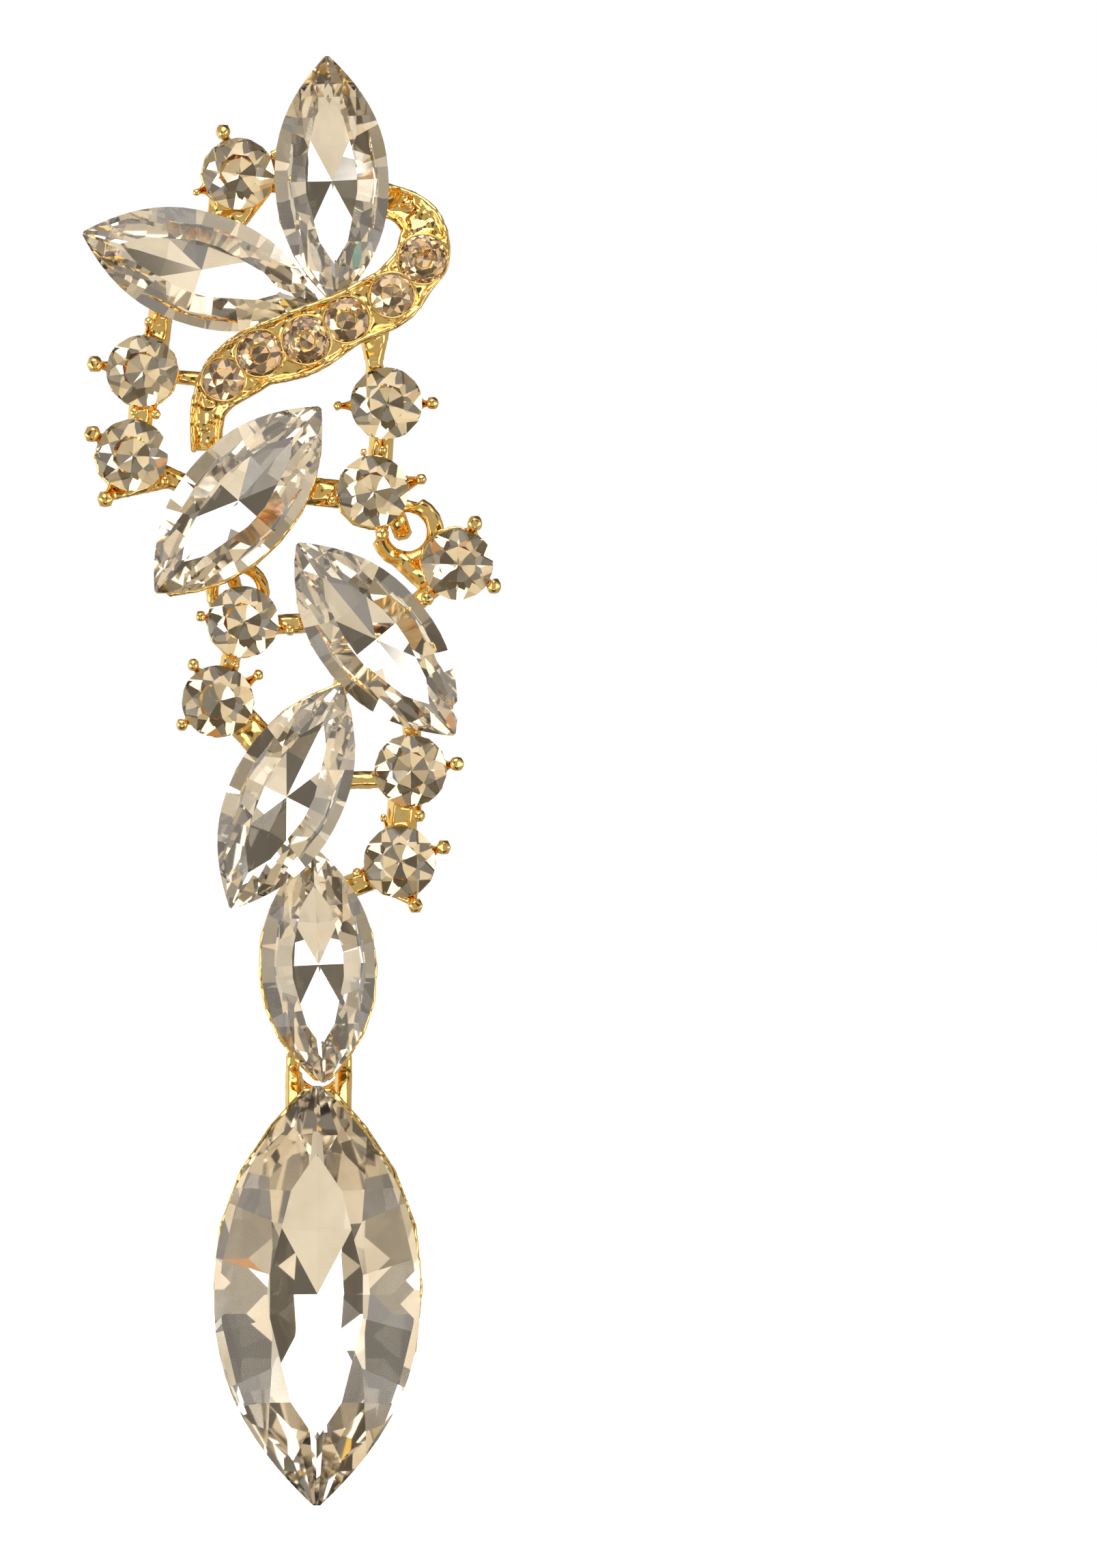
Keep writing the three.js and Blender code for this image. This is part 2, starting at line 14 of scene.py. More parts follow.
import bmesh
import bpy
import numpy as np
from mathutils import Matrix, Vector, noise


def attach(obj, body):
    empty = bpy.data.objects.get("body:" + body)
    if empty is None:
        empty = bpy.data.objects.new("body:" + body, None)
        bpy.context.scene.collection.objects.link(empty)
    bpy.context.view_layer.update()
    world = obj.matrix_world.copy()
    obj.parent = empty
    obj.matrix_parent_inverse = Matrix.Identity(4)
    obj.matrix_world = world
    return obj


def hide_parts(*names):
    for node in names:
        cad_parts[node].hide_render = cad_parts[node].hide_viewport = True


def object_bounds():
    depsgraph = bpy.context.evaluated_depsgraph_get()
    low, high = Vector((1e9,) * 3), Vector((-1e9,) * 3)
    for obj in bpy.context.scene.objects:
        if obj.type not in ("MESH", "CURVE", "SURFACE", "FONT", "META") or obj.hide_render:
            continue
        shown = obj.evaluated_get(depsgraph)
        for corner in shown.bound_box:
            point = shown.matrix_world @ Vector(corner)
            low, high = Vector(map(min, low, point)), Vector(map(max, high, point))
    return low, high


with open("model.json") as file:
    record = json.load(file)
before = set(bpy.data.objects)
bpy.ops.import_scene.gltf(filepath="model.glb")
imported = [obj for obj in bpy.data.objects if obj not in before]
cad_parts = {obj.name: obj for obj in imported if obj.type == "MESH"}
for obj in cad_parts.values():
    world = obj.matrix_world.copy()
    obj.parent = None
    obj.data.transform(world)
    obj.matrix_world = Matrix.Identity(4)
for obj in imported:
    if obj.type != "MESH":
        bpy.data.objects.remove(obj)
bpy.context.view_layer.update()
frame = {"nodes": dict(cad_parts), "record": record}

MM = 0.001
FRONT = np.array([0.0, -1.0, 0.0])

# ------------------------------------------------------------------ the stones' cuts

# Each row is a set of flat facets round the stone: the directions they face, in degrees from the
# long axis of an outline stretched to a circle, and two points that each facet passes through,
# (share of the way out to the girdle, height). Heights are shares of the crown or the pavilion.
MARQUISE_CROWN = [
    {"facing": (36, -36, 144, -144), "outer": (1.0, 0.1), "inner": (0.61, 1.0)},
    {"facing": (63, -63, 117, -117), "outer": (1.0, 0.1), "inner": (0.46, 1.0)},
    {"facing": (90, -90), "outer": (1.0, 0.1), "inner": (0.45, 1.0)},
]
MARQUISE_PAVILION = [
    {"facing": (22, -22, 158, -158), "outer": (1.0, -0.05), "inner": (0.0, 0.91)},
    {"facing": (66, -66, 114, -114), "outer": (1.0, -0.05), "inner": (0.0, 0.91)},
    {"facing": (44, -44, 136, -136), "outer": (1.0, -0.04), "inner": (0.7, 0.28)},
]
# The large drop has one more pair behind, across its middle.
DROP_PAVILION = MARQUISE_PAVILION + [
    {"facing": (90, -90), "outer": (1.0, -0.04), "inner": (0.7, 0.28)},
]
ROUND_CROWN = [
    {"facing": range(0, 360, 45), "outer": (1.0, 0.12), "inner": (0.5, 1.0)},
    {"facing": [22.5 + 45 * k for k in range(8)], "outer": (1.0, 0.03), "inner": (0.8, 0.5)},
]
ROUND_PAVILION = [
    {"facing": [22.5 + 45 * k for k in range(8)], "outer": (1.0, -0.05), "inner": (0.0, 1.0)},
]
GIRDLE_SIDES = 56  # points of an outline
SWELL = 2.3  # exponent of the marquise outline
BLUNT_TIP = 0.985  # share of the pointed outline that is left at each end
ROUND_SPIN = 31  # degrees from one round stone to the next
LEVEL = 1e-3  # heights this close count as one
CUT_TOLERANCE = 1e-5
WELD = 1e-4  # corners this close become one

# ------------------------------------------------------------------ the castings

CAST_PITCH = 0.132  # between the points of a casting
SMOOTHING = (0.5, -0.52)  # one round: a step that shrinks and a step that swells again
WAVES_PER_MM = 1.5  # of the unevenness of the castings
WAVE_HEIGHT = 0.13

# The two ears by which the drop hangs, each rounded by a row of balls: their middle, how far each
# lies to the side, their upper and lower ends, how far they stand out, and the balls.
EARS = {
    "x": -0.42,
    "reach": 1.61,
    "top": -50.3,
    "bottom": -52.0,
    "out": 0.4,
    "radius": 0.46,
    "balls": 8,
}

# ------------------------------------------------------------------ the leaf band

# Stations along the middle of the band: place on the face, half width, how far it stands out.
Station = namedtuple("Station", ["x", "z", "half", "out"])
BAND = [
    Station(3.4, 2.4, 0.95, 1.75),
    Station(5.15, 1.55, 1.18, 2.2),
    Station(5.93, 0.6, 1.38, 2.6),
    Station(6.05, -0.5, 1.62, 2.9),
    Station(5.92, -1.5, 1.68, 3.1),
    Station(5.05, -2.7, 1.64, 3.4),
    Station(4.15, -3.78, 1.82, 3.6),
    Station(2.75, -4.52, 1.8, 3.75),
    Station(1.33, -5.2, 1.72, 3.85),
    Station(-1.1, -6.48, 2.08, 3.9),
    Station(-2.5, -7.0, 2.04, 3.8),
    Station(-3.95, -7.4, 1.9, 3.6),
    Station(-5.05, -8.1, 1.86, 3.3),
    Station(-6.12, -8.95, 1.68, 3.0),
    Station(-7.02, -10.3, 1.2, 2.6),
    Station(-7.25, -11.6, 1.04, 2.2),
    Station(-7.25, -13.1, 0.98, 1.9),
]
BAND_STEPS = 200  # points of the finer course through the stations

# The balls of the rope-like rims. Their radius ripples along the band, and varies by chance.
RIM = {
    "inset": 0.19,
    "rise": 0.27,
    "radius": 0.19,
    "ripple": 0.025,
    "ripple_turn": 1.3,
    "chance": 0.015,
}
GRAIN = {"inset": 0.45, "rise": 0.02, "smallest": 0.14, "largest": 0.27}
GRAIN_SEED = 4
# How many grains lie at each end of the band, and between which points of the finer course.
GRAIN_ENDS = [
    {"first": 5, "last": 52, "count": 60},
    {"first": 172, "last": 196, "count": 18},
]

# The band's small stones: place on the face, diameter, how far the floor there stands out.
SmallStone = namedtuple("SmallStone", ["x", "z", "diameter", "out"])
PAVE = [
    SmallStone(6.0, -1.5, 3.05, 3.1),
    SmallStone(4.1, -3.7, 2.75, 3.6),
    SmallStone(1.33, -5.2, 2.85, 3.85),
    SmallStone(-1.1, -6.45, 3.0, 3.9),
    SmallStone(-3.95, -7.25, 2.9, 3.6),
    SmallStone(-6.2, -8.8, 2.65, 3.0),
]
PAVE_CUT = {"crown": 0.42, "pavilion": 0.95, "inset": 0.06, "rise": 0.18, "spin": 37}
COLLAR = {"play": 0.02, "rise": 0.17, "wire": 0.08, "sides": 28, "wire_sides": 8}
# A cone pressed into the band for a small stone. Its rim stands out so far, and it is so deep.
Pocket = namedtuple("Pocket", ["x", "z", "radius", "rim", "depth"])
POCKET_PLAY = 0.02

# ------------------------------------------------------------------ colours

GOLD = {"base": (1.0, 0.76, 0.3), "low": (0.97, 0.65, 0.2), "high": (1.0, 0.75, 0.31)}
GOLD_GRAIN = {"scale": 1900, "detail": 2, "strength": 0.12, "depth": 0.00006}
POLISH = {"gold": 0.1, "foil": 0.03, "glass": 0.0}  # roughness
GLASS_IOR = 1.56
# How finely each colour varies, per metre.
CLOUDS = {"gold": 900, "foil": 320, "glass": 260}
CLOUD_DETAIL = 3.0
CLOUD_EDGES = (0.35, 0.65)  # where the first colour ends and the second is reached


# ------------------------------------------------------------------ meshes


def linked(name, data):
    """A new object of the scene, with this mesh or camera."""
    made = bpy.data.objects.new(name, data)
    bpy.context.scene.collection.objects.link(made)
    return made


def mesh_object(name, points, faces, materials, slots=None, smooth=False):
    """An object from points in metres. The slots give each face its material."""
    mesh = bpy.data.meshes.new(name)
    mesh.from_pydata([tuple(p) for p in points], [], [tuple(f) for f in faces])
    for material in materials:
        mesh.materials.append(material)
    if slots is not None:
        mesh.polygons.foreach_set("material_index", slots)
    mesh.polygons.foreach_set("use_smooth", [smooth] * len(mesh.polygons))
    mesh.update()
    return linked(name, mesh)


def rows_of(items, field, width, kind=float):
    """One row of numbers for each vertex, edge or normal of a mesh."""
    flat = np.zeros(width * len(items), dtype=kind)
    items.foreach_get(field, flat)
    return flat.reshape(-1, width)


def node_points(node):
    """The corners of a CAD node, in millimetres."""
    return rows_of(frame["nodes"][node].data.vertices, "co", 3) / MM


def node_shape(node):
    """The points and faces of a CAD node."""
    return node_points(node), [list(p.vertices) for p in frame["nodes"][node].data.polygons]


def body_of_node(node):
    """The body that carries a CAD node."""
    return next(
        body
        for body, nodes in frame["record"]["behaviour"]["bodies"].items()
        if node in nodes
    )


# ------------------------------------------------------------------ stones


def cut(block, normal, offset):
    """Cuts away what lies beyond the plane normal . p = offset and closes the cut."""
    sides = block.verts[:] + block.edges[:] + block.faces[:]
    result = bmesh.ops.bisect_plane(
        block,
        geom=sides,
        dist=CUT_TOLERANCE,
        plane_co=Vector(normal) * (offset / Vector(normal).length_squared),
        plane_no=Vector(normal),
        clear_outer=True,
    )
    edges = [e for e in result["geom_cut"] if isinstance(e, bmesh.types.BMEdge)]
    if len(edges) > 2:
        bmesh.ops.contextual_create(block, geom=edges)


def faceted(outline, crown, pavilion, crown_tiers, pavilion_tiers):
    """A cut stone about its girdle plane, z to the front: points, faces and the faces' slots.

    The slot is 0, for glass, in front of the girdle and 1, for foil, behind it.
    """
    half_length = outline[:, 0].max()
    half_width = outline[:, 1].max()
    block = bmesh.new()
    low = [block.verts.new((x, y, -pavilion)) for x, y in outline]
    high = [block.verts.new((x, y, crown)) for x, y in outline]
    block.faces.new(low[::-1])
    block.faces.new(high)
    for i in range(len(outline)):
        j = (i + 1) % len(outline)
        block.faces.new((low[i], low[j], high[j], high[i]))
    for tiers, depth, sign in ((crown_tiers, crown, 1), (pavilion_tiers, pavilion, -1)):
        for tier in tiers:
            for facing in tier["facing"]:
                angle = math.radians(facing)
                way = np.array([math.cos(angle) / half_length, math.sin(angle) / half_width])
                way /= np.linalg.norm(way)
                reach = (outline @ way).max()
                (share_out, height_out), (share_in, height_in) = tier["outer"], tier["inner"]
                slope = (height_in - height_out) * depth / ((share_out - share_in) * reach)
                normal = (way[0] * slope, way[1] * slope, sign)
                cut(block, normal, height_out * depth + share_out * reach * slope)
    bmesh.ops.remove_doubles(block, verts=block.verts[:], dist=WELD)
    bmesh.ops.recalc_face_normals(block, faces=block.faces[:])
    block.verts.ensure_lookup_table()
    points = np.array([v.co for v in block.verts])
    faces = [[v.index for v in f.verts] for f in block.faces]
    slots = [0 if f.calc_center_median().z > -LEVEL else 1 for f in block.faces]
    block.free()
    return points, faces, slots


def marquise_outline(half_length, half_width):
    """Points round a marquise, more of them towards the tips."""
    shares = BLUNT_TIP * np.sin(np.linspace(-math.pi / 2, math.pi / 2, GIRDLE_SIDES // 2))
    along = half_length / BLUNT_TIP * shares
    across = half_width * (1 - np.abs(shares) ** SWELL)
    lower = np.stack([along, -across], 1)
    upper = np.stack([along, across], 1)[::-1]
    return np.concatenate([lower, upper])


def circle_outline(radius):
    """Points round a circle."""
    angles = np.linspace(0, 2 * math.pi, GIRDLE_SIDES, endpoint=False)
    return radius * np.stack([np.cos(angles), np.sin(angles)], 1)


def face_axes(angle):
    """Along, across and out of a stone that is turned by this angle on the face."""
    along = np.array([math.cos(angle), 0, math.sin(angle)])
    across = np.array([-math.sin(angle), 0, math.cos(angle)])
    return np.stack([along, across, FRONT])


def long_axis(points):
    """The direction, on the face, in which a stone is longest."""
    flat = points[:, [0, 2]] - points[:, [0, 2]].mean(0)
    values, vectors = np.linalg.eigh(flat.T @ flat)
    x, z = vectors[:, values.argmax()]
    return math.atan2(z, x)


def gem(node, glass, foil, spin=None):
    """The cut stone that stands for a CAD stone. A round one has a spin, in degrees."""
    points = node_points(node)
    angle = long_axis(points) if spin is None else math.radians(spin)
    axes = face_axes(angle)
    local = points @ axes.T
    lo, hi = local.min(0), local.max(0)
    girdle = local[local[:, 0] > hi[0] - LEVEL][:, 2].min()
    middle = np.array([(lo[0] + hi[0]) / 2, (lo[1] + hi[1]) / 2, girdle])
    half_length, half_width = (hi[0] - lo[0]) / 2, (hi[1] - lo[1]) / 2
    if spin is None:
        outline = marquise_outline(half_length, half_width)
        crown_tiers = MARQUISE_CROWN
        pavilion_tiers = DROP_PAVILION if node == "stone_drop" else MARQUISE_PAVILION
    else:
        outline = circle_outline(half_length)
        crown_tiers = ROUND_CROWN
        pavilion_tiers = ROUND_PAVILION
    crown, pavilion = hi[2] - girdle, girdle - lo[2]
    corners, faces, slots = faceted(outline, crown, pavilion, crown_tiers, pavilion_tiers)
    placed = (corners + middle) @ axes
    made = mesh_object("gem_" + node, placed * MM, faces, [glass, foil], slots)
    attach(made, body_of_node(node))
    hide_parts(node)
    return made


# ------------------------------------------------------------------ castings


def remeshed(name, points, faces, pitch):
    """One smooth skin round all the given closed shapes, in millimetres."""
    mesh = bpy.data.meshes.new(name + "_rough")
    mesh.from_pydata(points.tolist(), [], faces)
    rough = linked(name + "_rough", mesh)
    skin = rough.modifiers.new("skin", "REMESH")
    skin.mode = "VOXEL"
    skin.voxel_size = pitch
    graph = bpy.context.evaluated_depsgraph_get()
    made = bpy.data.meshes.new_from_object(rough.evaluated_get(graph))
    bpy.data.objects.remove(rough)
    bpy.data.meshes.remove(mesh)
    return made


def smoothed(mesh, rounds):
    """The mesh's points after rounds of smoothing that keep its volume."""
    points = rows_of(mesh.vertices, "co", 3)
    ends = rows_of(mesh.edges, "vertices", 2, np.int64)
    count = len(points)
    degree = np.bincount(ends.ravel(), minlength=count)[:, None]
    for _ in range(rounds):
        for step in SMOOTHING:
            total = np.empty_like(points)
            for axis in range(3):
                total[:, axis] = np.bincount(ends[:, 0], points[ends[:, 1], axis], count)
                total[:, axis] += np.bincount(ends[:, 1], points[ends[:, 0], axis], count)
            points = points + step * (total / degree - points)
    return points


def cast_waves(mesh, points):
    """How far a cast surface waves in and out: most where it faces the front, none at the back."""
    mesh.vertices.foreach_set("co", points.ravel())
    mesh.update()
    normals = rows_of(mesh.vertex_normals, "vector", 3)
    to_front = np.clip(normals @ FRONT, 0, 1)
    waves = np.array([noise.noise(Vector(p) * WAVES_PER_MM) for p in points])
    return WAVE_HEIGHT * (waves * to_front)[:, None] * normals


def ball(centre, radius, detail=1):
    """A small icosphere: points and faces."""
    shape = bmesh.new()
    bmesh.ops.create_icosphere(shape, subdivisions=detail, radius=radius)
    shape.verts.ensure_lookup_table()
    points = np.array([v.co for v in shape.verts]) + np.array(centre)
    faces = [[v.index for v in f.verts] for f in shape.faces]
    shape.free()
    return points, faces


def joined(shapes):
    """Several shapes as one list of points and one of faces."""
    points, faces, start = [], [], 0
    for shape_points, shape_faces in shapes:
        points.append(shape_points)
        faces.extend([[start + i for i in face] for face in shape_faces])
        start += len(shape_points)
    return np.concatenate(points), faces


def casting(node, extra, rounds, material, pockets=()):
    """A CAD casting as a smooth polished cast, with extra shapes melted into it."""
    points, faces = joined([node_shape(node), *extra])
    mesh = remeshed(node, points, faces, CAST_PITCH)
    skin = smoothed(mesh, rounds)
    skin += cast_waves(mesh, skin)
    for pocket in pockets:
        off = np.hypot(skin[:, 0] - pocket.x, skin[:, 2] - pocket.z) / pocket.radius
        inside = off < 1
        cone = pocket.depth * (1 - off[inside]) - pocket.rim
        skin[inside, 1] = np.maximum(skin[inside, 1], cone)
    mesh.vertices.foreach_set("co", (skin * MM).ravel())
    mesh.materials.clear()
    mesh.materials.append(material)
    mesh.polygons.foreach_set("material_index", [0] * len(mesh.polygons))
    mesh.polygons.foreach_set("use_smooth", [True] * len(mesh.polygons))
    mesh.update()
    made = linked("cast_" + node, mesh)
    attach(made, body_of_node(node))
    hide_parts(node)


def smooth_curve(rows, count):
    """Rows of numbers along a Catmull-Rom curve through the given rows."""
    rows = np.array(rows)
    padded = np.concatenate([2 * rows[:1] - rows[1:2], rows, 2 * rows[-1:] - rows[-2:-1]])
    made = []
    for t in np.linspace(0, len(rows) - 1, count):
        k = min(int(t), len(rows) - 2)
        u = t - k
        a, b, c, d = padded[k : k + 4]
        bend = 2 * a - 5 * b + 4 * c - d
        twist = 3 * b - a - 3 * c + d
        made.append(0.5 * (2 * b + (c - a) * u + bend * u**2 + twist * u**3))
    return np.array(made)


def band_grain():
    """The rope-like rims of the band and the grain of its two ends."""
    chance = random.Random(GRAIN_SEED)
    course = smooth_curve(BAND, BAND_STEPS)
    tangent = np.gradient(course[:, :2], axis=0)
    tangent /= np.linalg.norm(tangent, axis=1)[:, None]
    sideways = np.stack([-tangent[:, 1], tangent[:, 0]], 1)

    def beside(k, reach, rise):
        """A place so far to the side of the course, and so far above the band's floor."""
        x, z, _, out = course[k]
        return (x + sideways[k, 0] * reach, -out - rise, z + sideways[k, 1] * reach)

    shapes = []
    for side in (-1, 1):
        for k, half in enumerate(course[:, 2]):
            reach = side * (half - RIM["inset"])
            radius = RIM["radius"] + RIM["ripple"] * math.sin(RIM["ripple_turn"] * k)
            radius += chance.uniform(-RIM["chance"], RIM["chance"])
            shapes.append(ball(beside(k, reach, RIM["rise"]), radius))
    grains = []
    for end in GRAIN_ENDS:
        grains += [chance.randrange(end["first"], end["last"]) for _ in range(end["count"])]
    for k in grains:
        reach = chance.uniform(-1, 1) * (course[k, 2] - GRAIN["inset"])
        radius = chance.uniform(GRAIN["smallest"], GRAIN["largest"])
        shapes.append(ball(beside(k, reach, GRAIN["rise"]), radius))
    return shapes


def ear_cheeks():
    """Metal that rounds the two ears by which the drop hangs."""
    return [
        ball((EARS["x"] + side * EARS["reach"], -EARS["out"], z), EARS["radius"], detail=2)
        for side in (-1, 1)
        for z in np.linspace(EARS["top"], EARS["bottom"], EARS["balls"])
    ]


# ------------------------------------------------------------------ small stones of the band


def collar(name, centre, radius, material):
    """A thin round wire that lies on the face round a small stone."""
    around, section, wire = COLLAR["sides"], COLLAR["wire_sides"], COLLAR["wire"]
    points, faces = [], []
    for i in range(around):
        turn = 2 * math.pi * i / around
        this_ring = i * section
        next_ring = (i + 1) % around * section
        for j in range(section):
            roll = 2 * math.pi * j / section
            next_j = (j + 1) % section
            reach = radius + wire * math.cos(roll)
            x = centre[0] + reach * math.cos(turn)
            y = centre[1] - wire * math.sin(roll)
            z = centre[2] + reach * math.sin(turn)
            points.append((x, y, z))
            faces.append((this_ring + j, this_ring + next_j, next_ring + next_j, next_ring + j))
    made = mesh_object(name, np.array(points) * MM, faces, [material], smooth=True)
    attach(made, "top")


def pave(number, stone, glass, foil, metal):
    """One small stone of the band, with the thin collar round it."""
    outline = circle_outline(stone.diameter / 2 - PAVE_CUT["inset"])
    crown, pavilion = PAVE_CUT["crown"], PAVE_CUT["pavilion"]
    corners, faces, slots = faceted(outline, crown, pavilion, ROUND_CROWN, ROUND_PAVILION)
    axes = face_axes(math.radians(PAVE_CUT["spin"] * number))
    placed = corners @ axes + np.array([stone.x, -stone.out - PAVE_CUT["rise"], stone.z])
    made = mesh_object(f"pave_{number}", placed * MM, faces, [glass, foil], slots)
    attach(made, "top")
    centre = (stone.x, -stone.out - COLLAR["rise"], stone.z)
    collar(f"collar_{number}", centre, stone.diameter / 2 + COLLAR["play"], metal)


# ------------------------------------------------------------------ materials


def node_material(name, colour, metallic=0.0, roughness=0.1, transmission=0.0, ior=1.5):
    """A plain material, and its shader."""
    material = bpy.data.materials.new(name)
    material.use_nodes = True
    shader = material.node_tree.nodes["Principled BSDF"]
    shader.inputs["Base Color"].default_value = (*colour, 1)
    shader.inputs["Metallic"].default_value = metallic
    shader.inputs["Roughness"].default_value = roughness
    shader.inputs["Transmission Weight"].default_value = transmission
    shader.inputs["IOR"].default_value = ior
    return material, shader


def tinted(material, shader, low, high, scale):
    """Varies the base colour between two colours with soft noise."""
    nodes, links = material.node_tree.nodes, material.node_tree.links
    place = nodes.new("ShaderNodeTexCoord")
    clouds = nodes.new("ShaderNodeTexNoise")
    clouds.inputs["Scale"].default_value = scale
    clouds.inputs["Detail"].default_value = CLOUD_DETAIL
    ramp = nodes.new("ShaderNodeValToRGB")
    for element, edge, colour in zip(ramp.color_ramp.elements, CLOUD_EDGES, (low, high)):
        element.position = edge
        element.color = (*colour, 1)
    links.new(place.outputs["Object"], clouds.inputs["Vector"])
    links.new(clouds.outputs["Fac"], ramp.inputs["Fac"])
    links.new(ramp.outputs["Color"], shader.inputs["Base Color"])


def gold_material():
    """Polished gold plate with a fine grain."""
    material, shader = node_material(
        "gold_plate", GOLD["base"], metallic=1.0, roughness=POLISH["gold"]
    )
    tinted(material, shader, GOLD["low"], GOLD["high"], CLOUDS["gold"])
    nodes, links = material.node_tree.nodes, material.node_tree.links
    place = nodes.new("ShaderNodeTexCoord")
    grain = nodes.new("ShaderNodeTexNoise")
    grain.inputs["Scale"].default_value = GOLD_GRAIN["scale"]
    grain.inputs["Detail"].default_value = GOLD_GRAIN["detail"]
    bump = nodes.new("ShaderNodeBump")
    bump.inputs["Strength"].default_value = GOLD_GRAIN["strength"]
    bump.inputs["Distance"].default_value = GOLD_GRAIN["depth"]
    links.new(place.outputs["Object"], grain.inputs["Vector"])
    links.new(grain.outputs["Fac"], bump.inputs["Height"])
    links.new(bump.outputs["Normal"], shader.inputs["Normal"])
    return material


def glass_material(name, low, high):
    """Clear glass with a faint tint."""
    material, shader = node_material(
        name, high, roughness=POLISH["glass"], transmission=1.0, ior=GLASS_IOR
    )
    tinted(material, shader, low, high, CLOUDS["glass"])
    return material


def foil_material(name, low, high):
    """The mirror behind a stone."""
    material, shader = node_material(name, high, metallic=1.0, roughness=POLISH["foil"])
    tinted(material, shader, low, high, CLOUDS["foil"])
    return material


gold = gold_material()
clear = glass_material("champagne_glass", (0.95, 0.93, 0.88), (0.98, 0.97, 0.94))
olive = glass_material("olive_glass", (0.93, 0.9, 0.82), (0.97, 0.95, 0.89))
peach = glass_material("peach_glass", (0.95, 0.87, 0.75), (0.98, 0.93, 0.83))
silver_foil = foil_material("champagne_foil", (0.86, 0.82, 0.75), (0.95, 0.92, 0.87))
olive_foil = foil_material("olive_foil", (0.84, 0.78, 0.67), (0.94, 0.89, 0.78))
peach_foil = foil_material("peach_foil", (0.85, 0.74, 0.6), (0.95, 0.87, 0.75))

# ------------------------------------------------------------------ building

frame["nodes"]["ear_post"].data.materials.clear()
frame["nodes"]["ear_post"].data.materials.append(gold)

stones = [node for node in frame["nodes"] if node.startswith("stone_")]
for order, node in enumerate(sorted(stones)):
    if node.startswith("stone_round"):
        made = gem(node, olive, olive_foil, spin=ROUND_SPIN * order)
    else:
        made = gem(node, clear, silver_foil)

pockets = [
    Pocket(
        x=stone.x,
        z=stone.z,
        radius=stone.diameter / 2 + POCKET_PLAY,
        rim=stone.out + POCKET_PLAY,
        depth=PAVE_CUT["pavilion"],
    )
    for stone in PAVE
]
casting("top_frame", band_grain(), rounds=5, material=gold, pockets=pockets)
casting("middle_frame", [], rounds=8, material=gold)
casting("drop_setting", ear_cheeks(), rounds=6, material=gold)
for number, stone in enumerate(PAVE, start=1):
    pave(number, stone, peach, peach_foil, gold)

# ------------------------------------------------------------------ light

WHITE = (2.4, 2.4, 2.4)
PALE = (1.15, 1.02, 0.82)
CREAM = (0.92, 0.81, 0.64)
BEIGE = (0.72, 0.635, 0.5)
TAN = (0.42, 0.37, 0.29)
GREY = (0.3, 0.29, 0.29)
SHADE = (0.13, 0.112, 0.085)
AMBER = (1.4, 0.95, 0.2)
ORANGE = (0.75, 0.38, 0.16)
TEAL = (0.22, 0.5, 0.46)

# A round card of the studio: degrees off the straight front, degrees round the front from the
# right by way of the top, radius in degrees, colour.
Card = namedtuple("Card", ["off", "around", "radius", "colour"])

# The studio that the stones gather. A later card lies over the earlier ones.
PANELS = [
    # soft boxes above, with a grey gap between them, and at the sides
    Card(66, 130, 18, WHITE),
    Card(62, 50, 15, WHITE),
    Card(55, 90, 14, GREY),
    Card(78, 90, 8, WHITE),
    Card(65, 10, 7, WHITE),
    Card(65, 170, 7, WHITE),
    Card(72, 200, 6, WHITE),
    Card(72, -15, 5, WHITE),
    # pale bounce cards below, with a grey gap between them
    Card(60, -50, 16, CREAM),
    Card(65, -130, 16, CREAM),
    Card(60, -90, 12, GREY),
    Card(80, -75, 6, PALE),
    # dark flags, above and below the camera and at the sides
    Card(30, 90, 10, SHADE),
    Card(36, -90, 10, TAN),
    Card(36, -60, 6, SHADE),
    Card(36, -120, 6, SHADE),
    Card(34, 126, 6, SHADE),
    Card(45, 180, 6, SHADE),
    Card(75, 25, 5, SHADE),
    Card(75, 155, 5, SHADE),
    # the camera's own shade
    Card(0, 0, 6, TAN),
]
# Rings of alternating cards close round the front.
RING_TONES = [WHITE, SHADE, GREY, PALE, SHADE, WHITE, BEIGE, PALE, SHADE]
RING_START = 20
RINGS = [
    {"off": 19, "radius": 5, "count": 9},
    {"off": 9, "radius": 4, "count": 5},
]
for ring in RINGS:
    for k, tone in enumerate(RING_TONES[: ring["count"]]):
        around = RING_START + 360 / ring["count"] * k
        PANELS.append(Card(ring["off"], around, ring["radius"], tone))
# Small coloured cards, which stand for the fire of the glass.
PANELS += [
    Card(7, -115, 1.2, ORANGE),
    Card(65, 65, 3, AMBER),
    Card(66, 34, 2, TEAL),
]
PANEL_EDGE = 0.5  # degrees over which a card fades

# The walls behind the cards are a patchwork. A patch draws a number from 0 to 1, and has the
# last tone that begins at or below it.
PATCH_SCALE = 4.2  # patches per unit of the way out
PATCH_TONES = [(0.0, SHADE), (0.3, GREY), (0.46, BEIGE), (0.68, PALE), (0.88, WHITE)]

# What polished metal mirrors: a tent with large soft boxes and a few dark ones.
TENT_WALL = (0.48, 0.43, 0.38)
SOFT_BOXES = [
    Card(0, 0, 14, (0.5, 0.48, 0.45)),
    Card(60, 95, 28, (2.2, 2.2, 2.2)),
    Card(65, 190, 20, (1.9, 1.9, 1.9)),
    Card(62, -10, 18, (1.8, 1.8, 1.8)),
    Card(80, -90, 32, (0.1, 0.08, 0.06)),
    Card(38, -80, 9, (1.7, 1.6, 1.5)),
    Card(38, 150, 10, (0.08, 0.07, 0.05)),
    Card(38, 35, 10, (0.08, 0.07, 0.05)),
    Card(120, 60, 30, (0.12, 0.1, 0.08)),
    Card(120, 180, 30, (0.9, 0.88, 0.84)),
]
SOFT_EDGE = 5.0


def way_out(card):
    """The direction in which a card stands."""
    off, around = math.radians(card.off), math.radians(card.around)
    return (math.sin(off) * math.cos(around), -math.cos(off), math.sin(off) * math.sin(around))


